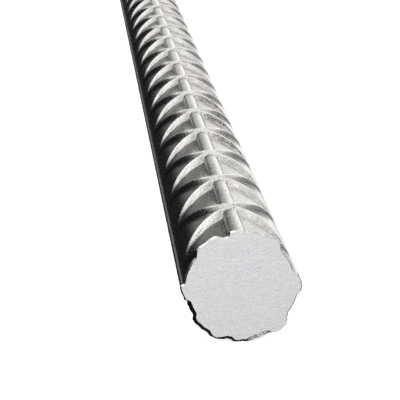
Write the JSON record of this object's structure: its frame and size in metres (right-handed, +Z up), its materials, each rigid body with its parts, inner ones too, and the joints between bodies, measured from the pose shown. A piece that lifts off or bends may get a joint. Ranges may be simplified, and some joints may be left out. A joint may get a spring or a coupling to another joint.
{
  "type": "deformed reinforcing bar",
  "caption": "Straight length of hot-rolled ribbed steel bar with square sawn ends, for reinforcing concrete.",
  "frame": {"origin": "on the floor below the middle of the bar, at the lowest rib's crown", "axes": "+Y along the bar, away from the sawn end that is seen first; +Z up, through the top lengthwise rib; +X towards one of the two parting ribs"},
  "size_m": [0.033, 0.61, 0.0339],
  "materials": {
    "rolled_steel": "hot-rolled, satin under a thin grey oxide, with sawn ends"
  },
  "bodies": {
    "root": {"bar": "rolled_steel"}
  },
  "joints": []
}
